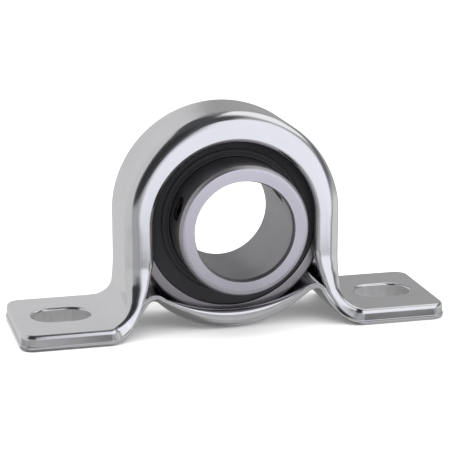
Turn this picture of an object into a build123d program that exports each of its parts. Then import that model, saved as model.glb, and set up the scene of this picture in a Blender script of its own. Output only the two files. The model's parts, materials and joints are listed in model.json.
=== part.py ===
from build123d import *
import os
from math import asin, atan2, cos, degrees, hypot, radians, sin, sqrt

# Pressed-steel pillow block with a set-screw insert ball bearing, 25 mm bore.
# Millimetres. X runs along the feet, Y along the shaft, Z up.
# The origin lies on the mounting plane, under the centre of the bearing.

# ---- driving dimensions -------------------------------------------------------------

SHAFT_HEIGHT = 28.2
BASE_LENGTH = 111.0
BASE_WIDTH = 32.0
BOLT_SPACING = 86.0
SLOT_WIDTH = 11.0
SLOT_LENGTH = 15.1
SHEET = 2.0

SHAFT_DIAMETER = 25.0
INSERT_SPHERE_DIAMETER = 52.0
OUTER_RING_WIDTH = 15.0
INNER_RING_FRONT = -20.0
INNER_RING_REAR = 7.0
INNER_RING_DIAMETER = 33.0

BALL_COUNT = 9
BALL_DIAMETER = 7.938
BALL_CIRCLE_DIAMETER = 39.0

# ---- pressed strap ------------------------------------------------------------------

SEAT_FIT = 0.05
STRAP_HALF_WIDTH = 11.0
STRAP_SHOULDER = 3.3
LIP_LEAN = 0.3
LIP_EDGE = 1.2
LIP_RADIUS = 21.0
SEAT_HALF_WIDTH = 8.5
SEAT_RELIEF = 0.3
LEG_STRAIGHT_TO = 18.5
UPPER_BEND = 5.5
FOOT_START = 34.5
FOOT_CORNER = 3.5
FOOT_EDGE = 0.6
SEAM_EDGE = 0.12
PLATE_OVERHANG = 0.3
SLOT_EDGE = 0.25
NEST_GAP = 0.1

HUMP_X = 21.0
HUMP_Z = 7.0
CRADLE_RIM_Z = 5.2
CRADLE_RIM_RADIUS = 40.3
LOWER_EDGE = 0.6
FLARE_START = 22.0
FLARE_END = 33.0

# ---- insert bearing -----------------------------------------------------------------

RACE_GAP = 0.1
RACE_RADIUS = 4.1
OUTER_LAND_RADIUS = 21.3
RING_EDGE = 0.55
BORE_CHAMFER = 0.65
SEAL_SEAT_RADIUS = 22.4
SEAL_SEAT_DEPTH = 1.9
SEAL_GROOVE = 0.35
SEAL_INSET = 0.35
SEAL_LIP_GAP = 0.08
SEAL_CORE_THICKNESS = 0.5
SEAL_CORE_COVER = 0.55
SEAL_CORE_INNER = 17.6
SEAL_CORE_OUTER = 22.0
SEAL_TIP = 0.3

CAGE_SHEET = 0.6
CAGE_INNER_RADIUS = 18.0
CAGE_OUTER_RADIUS = 21.0
CAGE_POCKET_GAP = 0.12
RIVET_RADIUS = 0.45
RIVET_HEAD_RADIUS = 0.85
RIVET_HEAD_HEIGHT = 0.4

SCREW_ANGLES = (41.0, 161.0)
SCREW_SETBACK = 6.0
SCREW_HOLE_RADIUS = 3.0
SCREW_RADIUS = 2.93
SCREW_TIP_RADIUS = 12.95
SCREW_TOP_RADIUS = 16.35
SCREW_SOCKET = 3.0
SCREW_SOCKET_DEPTH = 1.9
SCREW_CUP_RADIUS = 1.5

# ---- worked out from the above ------------------------------------------------------

SEAT_RADIUS = INSERT_SPHERE_DIAMETER / 2 + SEAT_FIT
ARCH_RADIUS = SEAT_RADIUS + SHEET
HALF_LENGTH = BASE_LENGTH / 2
HALF_BASE = BASE_WIDTH / 2
BEND_X = ARCH_RADIUS + UPPER_BEND
BEND_Z = 2 * SHEET + UPPER_BEND
NESTED_BEND = UPPER_BEND + SHEET
HUMP_RADIUS = hypot(HUMP_X, SHAFT_HEIGHT - HUMP_Z) - SEAT_RADIUS
CRADLE_ANGLE = atan2(HUMP_X, SHAFT_HEIGHT - HUMP_Z)
SHAFT_AXIS = Axis((0, 0, SHAFT_HEIGHT), (0, 1, 0))
RADIAL = Plane(origin=(0, 0, SHAFT_HEIGHT), x_dir=(0, 1, 0), z_dir=(1, 0, 0))
BALL_RADIUS = BALL_DIAMETER / 2
BALL_CIRCLE = BALL_CIRCLE_DIAMETER / 2
BORE_RADIUS = SHAFT_DIAMETER / 2
INNER_RADIUS = INNER_RING_DIAMETER / 2
RING_HALF = OUTER_RING_WIDTH / 2
NEAR = 0.01


def section_plane(x, z, nx, nz):
    """Plane across the strap: local x along the shaft, local y out of the sheet."""
    return Plane(origin=(x, 0, z), x_dir=(0, 1, 0), z_dir=(nz, 0, -nx))


def channel(plane, half_width, depth, shoulder, edge, lean):
    """Filled section of the strap: flat crown, rounded shoulders, a lip down each side."""
    low = half_width - lean
    corners = [(-half_width, 0), (half_width, 0), (low, -depth), (-low, -depth)]
    face = make_face(Polyline(*corners, close=True))
    face = fillet(face.vertices().group_by(Axis.Y)[-1], shoulder)
    face = fillet(face.vertices().group_by(Axis.Y)[0], edge)
    return plane * face


def hollow(plane, top, side_top, side, seat_half, deep, lean):
    """Section of the space inside the strap, from the seat down past the lips."""
    corners = Polyline(
        (seat_half, -side_top),
        (side, -side_top - SEAT_RELIEF),
        (side - lean, -deep),
        (-side + lean, -deep),
        (-side, -side_top - SEAT_RELIEF),
        (-seat_half, -side_top),
    )
    seat = ThreePointArc((-seat_half, -side_top), (0, -top), (seat_half, -side_top))
    return plane * make_face(corners + seat)


def seat_drop():
    """How far the spherical seat falls away between its middle and its edge."""
    return SEAT_RADIUS - sqrt(SEAT_RADIUS**2 - SEAT_HALF_WIDTH**2)


def arch_wall(plane, lip_depth):
    """Hollow section of the strap where it runs round the bearing."""
    outside = channel(plane, STRAP_HALF_WIDTH, lip_depth, STRAP_SHOULDER, LIP_EDGE, LIP_LEAN)
    inside = hollow(
        plane,
        SHEET,
        SHEET + seat_drop(),
        STRAP_HALF_WIDTH - SHEET,
        SEAT_HALF_WIDTH,
        lip_depth + SHEET,
        LIP_LEAN,
    )
    return outside - inside


def foot_plate(x_end, z):
    """Flat foot with rounded outer corners."""
    length = x_end - FOOT_START
    plate = Pos((FOOT_START + x_end) / 2, 0, z + SHEET / 2) * Box(length, BASE_WIDTH, SHEET)
    tip = plate.edges().filter_by(Axis.Z).group_by(Axis.X)[-1]
    return fillet(tip, FOOT_CORNER)


def slotted(half, face_z):
    """Bolt slot through one sheet, with its outer mouth softened."""
    slot = Pos(BOLT_SPACING / 2, 0, 0) * extrude(SlotOverall(SLOT_LENGTH, SLOT_WIDTH), 3 * SHEET, both=True)
    half -= slot
    mouth = [
        edge
        for edge in half.edges()
        if abs(edge.center().Z - face_z) < NEAR
        and abs(edge.center().X - BOLT_SPACING / 2) < SLOT_LENGTH / 2 + NEAR
        and abs(edge.center().Y) < SLOT_WIDTH / 2 + NEAR
    ]
    return fillet(mouth, SLOT_EDGE)


def upper_foot():
    """Flat foot of the upper half, with its top edge rolled over and its bolt slot."""
    plate = foot_plate(HALF_LENGTH - PLATE_OVERHANG, SHEET)
    rim = plate.faces().sort_by(Axis.Z)[-1].edges()
    plate = fillet(rim.sort_by(Axis.X)[1:], FOOT_EDGE)
    return slotted(plate, 2 * SHEET)


def upper_leg():
    """One leg of the upper half: the lipped strap opens out and bends into a flat foot."""

    def straight(z):
        return section_plane(ARCH_RADIUS, z, 1, 0)

    def bend(turn):
        a = radians(turn)
        return section_plane(BEND_X - UPPER_BEND * cos(a), BEND_Z - UPPER_BEND * sin(a), cos(a), sin(a))

    lip = ARCH_RADIUS - LIP_RADIUS
    drop = seat_drop()
    flat = section_plane(FOOT_START, 2 * SHEET, 0, 1)
    # plane, half width, lip depth, shoulder radius, lip edge radius, lean of the lip
    outside = [
        (straight(LEG_STRAIGHT_TO), STRAP_HALF_WIDTH, lip, STRAP_SHOULDER, LIP_EDGE, LIP_LEAN),
        (straight(17.0), 11.05, lip - 0.4, STRAP_SHOULDER, LIP_EDGE, LIP_LEAN),
        (straight(14.0), 11.5, lip - 1.4, 3.2, 1.0, LIP_LEAN),
        (straight(11.5), 12.1, lip - 2.2, 3.0, 0.8, LIP_LEAN),
        (bend(0), 12.6, lip - 3.1, 2.5, 0.5, 0.2),
        (bend(30), 13.7, 2.5, 1.6, 0.25, 0.1),
        (bend(60), 15.1, SHEET, 0.9, SEAM_EDGE, 0.05),
        (bend(90), 15.95, SHEET, FOOT_EDGE + 0.05, SEAM_EDGE, 0.0),
        (flat, HALF_BASE, SHEET, FOOT_EDGE, SEAM_EDGE, 0.0),
    ]
    # plane, roof in the middle, roof at the seat's edge, half width, half width of the seat, lean
    inside = [
        (straight(LEG_STRAIGHT_TO), SHEET, SHEET + drop, STRAP_HALF_WIDTH - SHEET, SEAT_HALF_WIDTH, LIP_LEAN),
        (straight(17.0), SHEET, SHEET + drop, 9.05, SEAT_HALF_WIDTH, LIP_LEAN),
        (straight(14.0), SHEET, SHEET + 0.6 * drop, 9.5, 8.7, LIP_LEAN),
        (straight(11.5), SHEET, SHEET + 0.3 * drop, 10.1, 9.1, LIP_LEAN),
        (bend(0), SHEET, SHEET + 0.1 * drop, 10.6, 9.6, 0.2),
        (bend(30), 1.05 * SHEET, 1.1 * SHEET, 11.7, 10.6, 0.1),
        (bend(50), 1.25 * SHEET, 1.3 * SHEET, 12.9, 11.6, 0.1),
    ]
    skin = loft([channel(*station) for station in outside])
    room = [
        hollow(plane, roof, roof_edge, side, seat_half, lip + SHEET, lean)
        for plane, roof, roof_edge, side, seat_half, lean in inside
    ]
    return skin - loft(room)


def upper_housing():
    """Arch, two legs and two feet, pressed from one sheet."""
    lip = ARCH_RADIUS - LIP_RADIUS
    wall = arch_wall(section_plane(ARCH_RADIUS, SHAFT_HEIGHT, 1, 0), lip)
    arch = revolve(wall, Axis((0, 0, SHAFT_HEIGHT), (0, -1, 0)), 180)
    straight = extrude(wall, SHAFT_HEIGHT - LEG_STRAIGHT_TO, dir=(0, 0, -1))
    side = straight + upper_leg() + upper_foot()
    side -= nest_space()
    return arch + side + mirror(side, Plane.YZ)


def incline_angle():
    """Slope of the lower sheet between its foot bend and its hump, touching both."""
    reach = hypot(BEND_X - HUMP_X, BEND_Z - HUMP_Z)
    rise = atan2(BEND_Z - HUMP_Z, BEND_X - HUMP_X)
    return asin((NESTED_BEND + HUMP_RADIUS) / reach) - rise


def bend_point(offset, slope):
    """Point on the lower half's foot bend, a distance under its upper face."""
    radius = NESTED_BEND + offset
    return (BEND_X - radius * sin(slope), BEND_Z - radius * cos(slope))


def hump_point(offset, slope):
    """Point on the lower half's hump, a distance under its upper face."""
    radius = HUMP_RADIUS - offset
    return (HUMP_X + radius * sin(slope), HUMP_Z + radius * cos(slope))


def sheet_line(offset):
    """Side view of one face of the lower sheet, from the cradle out to the flat foot."""
    slope = incline_angle()
    edge = -CRADLE_ANGLE
    middle = (slope + edge) / 2
    return [
        ThreePointArc(hump_point(offset, edge), hump_point(offset, middle), hump_point(offset, slope)),
        Line(hump_point(offset, slope), bend_point(offset, slope)),
        ThreePointArc(bend_point(offset, slope), bend_point(offset, slope / 2), bend_point(offset, 0)),
        Line(bend_point(offset, 0), (FOOT_START, SHEET - offset)),
    ]


def nest_space():
    """Room that the lower half takes up under the upper one, with a little play."""
    top = sheet_line(-NEST_GAP)
    near = top[0] @ 0
    step = (FOOT_START, SHEET)
    end = (HALF_LENGTH + 1, SHEET)
    below = Polyline(top[-1] @ 1, step, end, (end[0], -1), (0, -1), (0, near.Y), near)
    return extrude(Plane.XZ * make_face(top + [below]), HALF_BASE + 1, both=True)


def lower_strap():
    """Hump, incline and foot bend of the lower half, widening towards the foot."""
    upper = sheet_line(0)
    under = sheet_line(SHEET)
    ends = [Line(upper[0] @ 0, under[0] @ 0), Line(upper[-1] @ 1, under[-1] @ 1)]
    band = extrude(Plane.XZ * make_face(upper + under + ends), HALF_BASE, both=True)
    start = (FLARE_START, STRAP_HALF_WIDTH)
    end = (FLARE_END, HALF_BASE)
    middle = ((start[0] + end[0]) / 2, (start[1] + end[1]) / 2)
    first = TangentArc(start, middle, tangent=(1, 0))
    second = TangentArc(end, middle, tangent=(-1, 0))
    outside = Polyline(end, (FOOT_START, HALF_BASE), (FOOT_START, HALF_BASE + 1), (0, HALF_BASE + 1))
    inside = Polyline((0, HALF_BASE + 1), (0, STRAP_HALF_WIDTH), start)
    waste = extrude(make_face([first, second, outside, inside]), 2 * SHAFT_HEIGHT, both=True)
    return band - waste - mirror(waste, Plane.XZ)


def is_lower_rim(edge):
    """True for an edge that runs round the underside of the lower strap and foot."""
    middle = edge.position_at(0.5)
    if middle.X > FOOT_START:
        return abs(middle.Z) < NEAR
    across = abs(edge.tangent_at(0.5).Y) > 0.95
    underside = Vector(middle.X, middle.Z)
    on_underside = min(line.distance_to(underside) for line in sheet_line(SHEET)) < NEAR
    return on_underside and not across


def lower_side():
    """Hump, incline and foot of the lower half, with the underside's edge rolled over."""
    side = lower_strap() + foot_plate(HALF_LENGTH, 0)
    side = fillet([edge for edge in side.edges() if is_lower_rim(edge)], LOWER_EDGE)
    return slotted(side, 0)


def cradle():
    """Spherical seat under the insert, with a lip down each side that fades at the humps."""
    rim_depth = ARCH_RADIUS - (SHAFT_HEIGHT - CRADLE_RIM_Z)
    wall = arch_wall(section_plane(0, SHAFT_HEIGHT - ARCH_RADIUS, 0, -1), rim_depth)
    turn = degrees(CRADLE_ANGLE)
    half = revolve(wall, SHAFT_AXIS, -turn) + revolve(wall, SHAFT_AXIS, turn)
    rim_centre = CRADLE_RIM_Z + CRADLE_RIM_RADIUS
    above = Pos(0, 0, rim_centre) * Rot(90, 0, 0) * Cylinder(CRADLE_RIM_RADIUS, 2 * BASE_WIDTH)
    return half - above


def lower_housing():
    """Cradle, two humps and two feet, pressed from one sheet."""
    side = lower_side()
    return cradle() + side + mirror(side, Plane.YZ)


def turned(*lines):
    """Ring made by turning a half section about the shaft axis."""
    return revolve(RADIAL * make_face(list(lines)), SHAFT_AXIS, 360)


def washer(rear, front, inner, outer):
    """Flat ring about the shaft axis, between two places along it."""
    return turned(Polyline((rear, inner), (front, inner), (front, outer), (rear, outer), close=True))


def race(centre, land, way):
    """Ball groove in a half section, from its rear edge to its front edge."""
    half = sqrt(RACE_RADIUS**2 - (land - centre) ** 2)
    return ThreePointArc((half, land), (0, centre + way * RACE_RADIUS), (-half, land))


def outer_ring():
    """Spherical outer ring with a ball groove and a stepped seat for each seal."""
    sphere = INSERT_SPHERE_DIAMETER / 2
    rim = sqrt(sphere**2 - RING_HALF**2)
    seat = RING_HALF - SEAL_SEAT_DEPTH
    groove = SEAL_SEAT_RADIUS + SEAL_GROOVE
    track = race(BALL_CIRCLE + BALL_RADIUS + RACE_GAP - RACE_RADIUS, OUTER_LAND_RADIUS, 1)
    rear = [
        (RING_HALF, rim),
        (RING_HALF, SEAL_SEAT_RADIUS),
        (seat + 3 * SEAL_GROOVE, SEAL_SEAT_RADIUS),
        (seat + 2 * SEAL_GROOVE, groove),
        (seat, groove),
        (seat, OUTER_LAND_RADIUS),
        track @ 0,
    ]
    front = [track @ 1] + [(-y, r) for y, r in reversed(rear[:-1])]
    outside = ThreePointArc((-RING_HALF, rim), (0, sphere), (RING_HALF, rim))
    ring = turned(outside, Polyline(*rear), track, Polyline(*front))
    corners = [edge for edge in ring.edges().filter_by(GeomType.CIRCLE) if abs(edge.radius - rim) < NEAR]
    return fillet(corners, RING_EDGE)


def inner_ring():
    """Long inner ring with a ball groove, and two tapped holes near its front end."""
    track = race(BALL_CIRCLE - BALL_RADIUS - RACE_GAP + RACE_RADIUS, INNER_RADIUS, -1)
    rear = Polyline((INNER_RING_REAR, BORE_RADIUS), (INNER_RING_REAR, INNER_RADIUS), track @ 0)
    front = Polyline(track @ 1, (INNER_RING_FRONT, INNER_RADIUS), (INNER_RING_FRONT, BORE_RADIUS))
    bore = Line((INNER_RING_FRONT, BORE_RADIUS), (INNER_RING_REAR, BORE_RADIUS))
    ring = turned(rear, track, front, bore)
    ends = ring.edges().group_by(Axis.Y)[0] + ring.edges().group_by(Axis.Y)[-1]
    ring = fillet(ends.filter_by(lambda edge: edge.radius > BORE_RADIUS + 1), RING_EDGE)
    ends = ring.edges().group_by(Axis.Y)[0] + ring.edges().group_by(Axis.Y)[-1]
    ring = chamfer(ends.filter_by(lambda edge: edge.radius < BORE_RADIUS + 1), BORE_CHAMFER)
    for angle in SCREW_ANGLES:
        ring -= screw_place(angle) * Cylinder(
            SCREW_HOLE_RADIUS, INNER_RADIUS + 1, align=(Align.CENTER, Align.CENTER, Align.MIN)
        )
    return ring


def screw_place(angle):
    """Place on the shaft axis with Z pointing out through a set screw."""
    across = (cos(radians(angle)), 0, sin(radians(angle)))
    seat = (0, INNER_RING_FRONT + SCREW_SETBACK, SHAFT_HEIGHT)
    return Location(Plane(origin=seat, x_dir=(0, 1, 0), z_dir=across))


def set_screw(angle):
    """Headless screw with a hexagon socket and a cup point."""
    length = SCREW_TOP_RADIUS - SCREW_TIP_RADIUS
    screw = Cylinder(SCREW_RADIUS, length, align=(Align.CENTER, Align.CENTER, Align.MIN))
    screw = chamfer(screw.edges().filter_by(GeomType.CIRCLE), RING_EDGE)
    hexagon = RegularPolygon(SCREW_SOCKET / 2, 6, major_radius=False)
    screw -= Pos(0, 0, length) * extrude(hexagon, -SCREW_SOCKET_DEPTH)
    screw -= Cone(SCREW_CUP_RADIUS, 0, SCREW_CUP_RADIUS / 2, align=(Align.CENTER, Align.CENTER, Align.MIN))
    return screw_place(angle) * Pos(0, 0, SCREW_TIP_RADIUS) * screw


def ball_place(number):
    """Place of one ball on the ball circle; halves lie between two balls."""
    angle = radians(360 / BALL_COUNT * number)
    return Pos(BALL_CIRCLE * sin(angle), 0, SHAFT_HEIGHT + BALL_CIRCLE * cos(angle))


def ball(number):
    """One ball of the row."""
    return ball_place(number) * Sphere(BALL_RADIUS)


def cage_half(side):
    """Half of the riveted ribbon cage: flat webs with a round pocket over each ball."""
    pocket = BALL_RADIUS + CAGE_POCKET_GAP
    blank = washer(0, side * (pocket + CAGE_SHEET), CAGE_INNER_RADIUS, CAGE_OUTER_RADIUS)
    web = washer(0, side * CAGE_SHEET, CAGE_INNER_RADIUS, CAGE_OUTER_RADIUS)
    for number in range(BALL_COUNT):
        web += blank & (ball_place(number) * Sphere(pocket + CAGE_SHEET))
    for number in range(BALL_COUNT):
        web -= ball_place(number) * Sphere(pocket)
        web -= ball_place(number + 0.5) * Rot(90, 0, 0) * Cylinder(RIVET_RADIUS, 4 * CAGE_SHEET)
    return web


def cage_rivets():
    """Rivets that hold the two cage halves together, one between each pair of balls."""
    shank = Cylinder(RIVET_RADIUS, 2 * CAGE_SHEET)
    head = Cylinder(RIVET_HEAD_RADIUS, RIVET_HEAD_HEIGHT)
    reach = CAGE_SHEET + RIVET_HEAD_HEIGHT / 2
    rivet = Rot(90, 0, 0) * (shank + Pos(0, 0, reach) * head + Pos(0, 0, -reach) * head)
    return Compound(children=[ball_place(number + 0.5) * rivet for number in range(BALL_COUNT)])


def seal_core(side):
    """Flat steel washer that stiffens a seal."""
    outer_face = RING_HALF - SEAL_INSET - SEAL_CORE_COVER
    inner_face = outer_face - SEAL_CORE_THICKNESS
    return washer(side * inner_face, side * outer_face, SEAL_CORE_INNER, SEAL_CORE_OUTER)


def seal_rubber(side):
    """Rubber moulded over the washer, with a bead in the ring and a lip near the inner ring."""
    face = RING_HALF - SEAL_INSET
    cover = face - SEAL_CORE_COVER
    back = cover - SEAL_CORE_THICKNESS
    seat = RING_HALF - SEAL_SEAT_DEPTH
    lip = INNER_RADIUS + SEAL_LIP_GAP
    rim = SEAL_SEAT_RADIUS - SEAT_FIT
    bead = rim + SEAL_GROOVE
    section = [
        (face, lip + SEAL_TIP),
        (face, rim),
        (seat + 3 * SEAL_GROOVE, rim),
        (seat + 2 * SEAL_GROOVE, bead),
        (seat, bead),
        (seat, SEAL_CORE_OUTER),
        (cover, SEAL_CORE_OUTER),
        (cover, SEAL_CORE_INNER),
        (back, SEAL_CORE_INNER),
        (back, SEAL_CORE_INNER - SEAL_TIP),
        (cover - SEAL_TIP / 2, lip),
        (cover + SEAL_TIP / 2, lip),
    ]
    return turned(Polyline(*[(side * y, r) for y, r in section], close=True))


def parts():
    """Every sub-part by its name."""
    made = {
        "upper_housing": upper_housing(),
        "lower_housing": lower_housing(),
        "outer_ring": outer_ring(),
        "inner_ring": inner_ring(),
        "cage_front_half": cage_half(-1),
        "cage_rear_half": cage_half(1),
        "cage_rivets": cage_rivets(),
        "front_seal_core": seal_core(-1),
        "front_seal_rubber": seal_rubber(-1),
        "rear_seal_core": seal_core(1),
        "rear_seal_rubber": seal_rubber(1),
    }
    for number in range(BALL_COUNT):
        made[f"ball_{number + 1}"] = ball(number)
    for number, angle in enumerate(SCREW_ANGLES):
        made[f"set_screw_{number + 1}"] = set_screw(angle)
    return made


def main():
    os.makedirs("parts", exist_ok=True)
    for name, solid in parts().items():
        solid.label = name
        export_step(solid, f"parts/{name}.step")


if __name__ == "__main__":
    main()
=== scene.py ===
import json
from itertools import product
from math import asin, atan2, cos, hypot, pi, radians, sin, sqrt

import bmesh
import bpy
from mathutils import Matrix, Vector


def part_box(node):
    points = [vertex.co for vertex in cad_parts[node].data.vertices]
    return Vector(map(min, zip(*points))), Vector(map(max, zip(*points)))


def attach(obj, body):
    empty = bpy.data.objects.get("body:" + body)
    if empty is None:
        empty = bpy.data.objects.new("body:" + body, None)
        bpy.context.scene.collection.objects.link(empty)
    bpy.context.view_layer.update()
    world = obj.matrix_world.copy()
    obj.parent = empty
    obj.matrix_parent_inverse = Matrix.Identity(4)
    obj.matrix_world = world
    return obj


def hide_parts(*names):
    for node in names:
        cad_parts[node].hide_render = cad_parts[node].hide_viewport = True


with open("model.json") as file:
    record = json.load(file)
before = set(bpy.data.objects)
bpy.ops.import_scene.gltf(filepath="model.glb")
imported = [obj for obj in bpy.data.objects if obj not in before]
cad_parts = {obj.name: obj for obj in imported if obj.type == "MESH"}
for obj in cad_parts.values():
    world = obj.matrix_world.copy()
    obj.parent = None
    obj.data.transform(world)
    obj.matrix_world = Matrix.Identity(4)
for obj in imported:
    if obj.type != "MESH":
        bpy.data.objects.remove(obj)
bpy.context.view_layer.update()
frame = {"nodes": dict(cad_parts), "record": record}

bl_info = {
    "name": "Pressed Pillow Block",
    "version": (1, 0, 0),
    "blender": (4, 5, 0),
    "location": "3D Viewport > Sidebar > Pillow Block",
    "description": "Builds the looks of a pressed-steel pillow block bearing round its packed frame",
    "category": "Add Mesh",
}

MM = 0.001


# ---- sizes read from the frame ------------------------------------------------------


def mount(name):
    """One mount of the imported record."""
    return next(entry for entry in frame["record"]["mounts"] if entry["name"] == name)


SHAFT_HEIGHT = mount("shaft_bore")["pos_m"][2]
BORE_RADIUS = mount("shaft_bore")["dims"]["r_mm"] * MM
BOLT_SPACING = mount("bolt_slots")["dims"]["spacing_x_mm"] * MM
SLOT_WIDTH = 2 * mount("bolt_slots")["dims"]["hole_r_mm"] * MM
SLOT_LENGTH = mount("bolt_slots")["dims"]["slot_length_mm"] * MM
UPPER_LOW, UPPER_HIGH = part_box("upper_housing")
LOWER_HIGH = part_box("lower_housing")[1]
INNER_LOW, INNER_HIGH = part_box("inner_ring")
OUTER_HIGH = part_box("outer_ring")[1]
SEAL_FACE = abs(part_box("front_seal_rubber")[0].y)
SHEET = UPPER_LOW.z
ARCH_RADIUS = UPPER_HIGH.z - SHAFT_HEIGHT
SEAT_RADIUS = ARCH_RADIUS - SHEET
RING_SPHERE = SEAT_RADIUS - 0.05 * MM
INNER_RADIUS = INNER_HIGH.x
HALF_BASE = LOWER_HIGH.y
SCREW_TIP = BORE_RADIUS + 0.45 * MM
SCREW_TOP = BORE_RADIUS + 3.85 * MM

ARCH_CENTRE = (0.0, SHAFT_HEIGHT)
SEAM_EDGE = 0.12 * MM
PLAIN_BEND = 0.8 * SHEET
BALL_GROOVE = 4.1 * MM
OUTER_RACE_CENTRE = 19.47 * MM
INNER_RACE_CENTRE = 19.6 * MM
SEAL_SEAT = 22.4 * MM
SEAL_BACK = 5.6 * MM
OUTER_LAND = 21.3 * MM


# ---- settings that a user would change ------------------------------------------------


def length(name, description, default):
    """A length property in metres."""
    return bpy.props.FloatProperty(
        name=name,
        description=description,
        default=default,
        min=0.0,
        precision=5,
        unit="LENGTH",
        subtype="DISTANCE",
    )


def tint(name, description, default):
    """A linear colour property."""
    return bpy.props.FloatVectorProperty(
        name=name, description=description, default=default, size=3, min=0.0, max=1.0, subtype="COLOR"
    )


def slant(name, description, default):
    """An angle property in radians."""
    return bpy.props.FloatProperty(name=name, description=description, default=default, subtype="ANGLE")


class HousingSettings(bpy.types.PropertyGroup):
    """Sizes of the two pressed sheets."""

    half_width: length("Half width", "Half the width of the arch along the shaft", 11.0 * MM)
    shoulder: length("Shoulder radius", "Outer bend between the arch's crown and a lip", 3.3 * MM)
    leg_shoulder: length("Leg shoulder", "Outer bend between a leg's crown and a lip", 3.8 * MM)
    lip_radius: length("Lip radius", "Radius of the arch's lip edge", 21.0 * MM)
    lip_drop: length("Lip drop", "How much deeper the lip is at the top of the arch", 0.6 * MM)
    lip_edge: length("Lip edge", "Outer rounding of the lip's edge", 1.25 * MM)
    leg_edge: length("Leg lip roll", "Outer rounding of a leg's lip, along its depth", 1.5 * MM)
    leg_roll: length("Leg lip roll across", "Outer rounding of a leg's lip, across it", 1.2 * MM)
    lip_burr: length("Lip inner edge", "Inner rounding of the lip's edge", 0.35 * MM)
    corner: length("Inner corner", "Inner bend between the seat and a lip", 0.9 * MM)
    bend: length("Foot bend", "Inner bend between a leg and its foot", 5.5 * MM)
    foot_corner: length("Foot corner", "Plan radius of a foot's corners", 3.5 * MM)
    foot_edge: length("Foot edge", "Rounding of an upper foot's edge, across", 0.75 * MM)
    foot_drop: length("Foot drop", "Rounding of an upper foot's edge, down", 1.1 * MM)
    foot_hang: length("Foot hang", "How far an upper foot is pressed down past the sheets' middle", 0.6 * MM)
    foot_lift: length("Foot lift", "How far an upper foot stands above two flat sheets", 0.25 * MM)
    under_edge: length("Under edge", "Rounding of a lower foot's edge, across", 0.8 * MM)
    under_drop: length("Under drop", "Rounding of a lower foot's edge, upward", 1.2 * MM)
    slot_edge: length("Slot edge", "Rounding of a bolt slot's mouth", 0.6 * MM)
    foot_start: length("Foot start", "Where the flat foot starts, from the middle", 34.5 * MM)
    hump_x: length("Hump place", "Centre of the lower sheet's hump, from the middle", 21.0 * MM)
    hump_z: length("Hump height", "Centre of the lower sheet's hump, above the base", 7.0 * MM)
    rim_z: length("Cradle rim", "Height of the cradle's lip in the middle", 5.2 * MM)
    rim_radius: length("Cradle rim radius", "Radius of the cradle's lip edge, seen from the front", 40.3 * MM)


class BearingSettings(bpy.types.PropertyGroup):
    """Details of the insert bearing."""

    bore_chamfer: length("Bore chamfer", "Depth of the cone at both ends of the bore", 0.4 * MM)
    bore_lead: length("Bore lead", "Length of the cone at both ends of the bore", 1.2 * MM)
    ring_edge: length("Ring edge", "Bevel of the inner ring's outer edges", 0.6 * MM)
    ring_nose: length("Ring nose", "Length of the bevel at the inner ring's front", 1.2 * MM)
    thread: length("Thread", "Set screw thread's diameter", 6.0 * MM)
    pitch: length("Pitch", "Set screw thread's pitch", 0.75 * MM)
    socket: length("Socket", "Set screw's hexagon socket across its flats", 3.0 * MM)
    seal_lip: length("Seal lip", "How far a seal's lip stands past its face", 1.1 * MM)


class FinishSettings(bpy.types.PropertyGroup):
    """Colours of the finishes."""

    zinc: tint("Zinc plate", "Pressed and plated sheet", (0.84, 0.84, 0.86))
    steel: tint("Ground steel", "Bearing rings", (0.69, 0.665, 0.73))
    rubber: tint("Rubber", "Seals", (0.009, 0.009, 0.0095))
    black: tint("Black oxide", "Set screws", (0.06, 0.057, 0.055))
    cage: tint("Strip steel", "Cage, rivets and seal washers", (0.42, 0.42, 0.43))


class StudioSettings(bpy.types.PropertyGroup):
    """Floor, lights and camera."""

    floor: tint("Floor", "Colour of the floor", (0.93, 0.93, 0.93))
    tent: length("Tent radius", "From the bearing to the reflector tent", 330.0 * MM)
    distance: length("Camera distance", "From the aim point to the camera", 453.06 * MM)
    lens: bpy.props.FloatProperty(name="Lens", description="Focal length", default=140.95, unit="CAMERA")
    turn: slant("Turn", "Camera's turn to the left of the front", radians(14.643))
    rise: slant("Rise", "Camera's angle above the base", radians(14.785))


# ---- small geometry helpers -----------------------------------------------------------


def spread(low, high, steps):
    """Evenly spaced values from low to high, both ends included."""
    return [low + (high - low) * step / steps for step in range(steps + 1)]


def clamp(value):
    """A value held between 0 and 1."""
    return max(0.0, min(1.0, value))


def smooth_keys(keys, place):
    """Value on a smooth curve through (place, value) keys that are sorted by place."""
    if place <= keys[0][0]:
        return keys[0][1]
    if place >= keys[-1][0]:
        return keys[-1][1]
    index = next(i for i in range(len(keys) - 1) if keys[i + 1][0] >= place)
    (x0, y0), (x1, y1) = keys[index], keys[index + 1]
    span = x1 - x0
    t = (place - x0) / span
    rest = 1 - t
    return (
        y0 * rest * rest * (1 + 2 * t)
        + y1 * t * t * (3 - 2 * t)
        + slope_at(keys, index) * span * t * rest * rest
        - slope_at(keys, index + 1) * span * t * t * rest
    )


def slope_at(keys, index):
    """Slope of the smooth curve at one key; level where the values turn or stay."""
    if index in (0, len(keys) - 1):
        return 0.0
    (xa, ya), (xb, yb), (xc, yc) = keys[index - 1], keys[index], keys[index + 1]
    before = (yb - ya) / (xb - xa)
    after = (yc - yb) / (xc - xb)
    if before * after <= 0:
        return 0.0
    return 2 * before * after / (before + after)


def arc(centre, radius, start, end, steps):
    """Points on an arc, angles in radians from the first axis."""
    return [(centre[0] + radius * cos(a), centre[1] + radius * sin(a)) for a in spread(start, end, steps)]


def add_loop(bm, points):
    """Vertices at the points."""
    return [bm.verts.new(point) for point in points]


def bridge(bm, first, second, closed=False):
    """Quads between two rows of vertices."""
    count = len(first)
    for i in range(count if closed else count - 1):
        j = (i + 1) % count
        quad = [first[i], first[j], second[j], second[i]]
        if len(set(quad)) == 4:
            bm.faces.new(quad)


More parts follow.
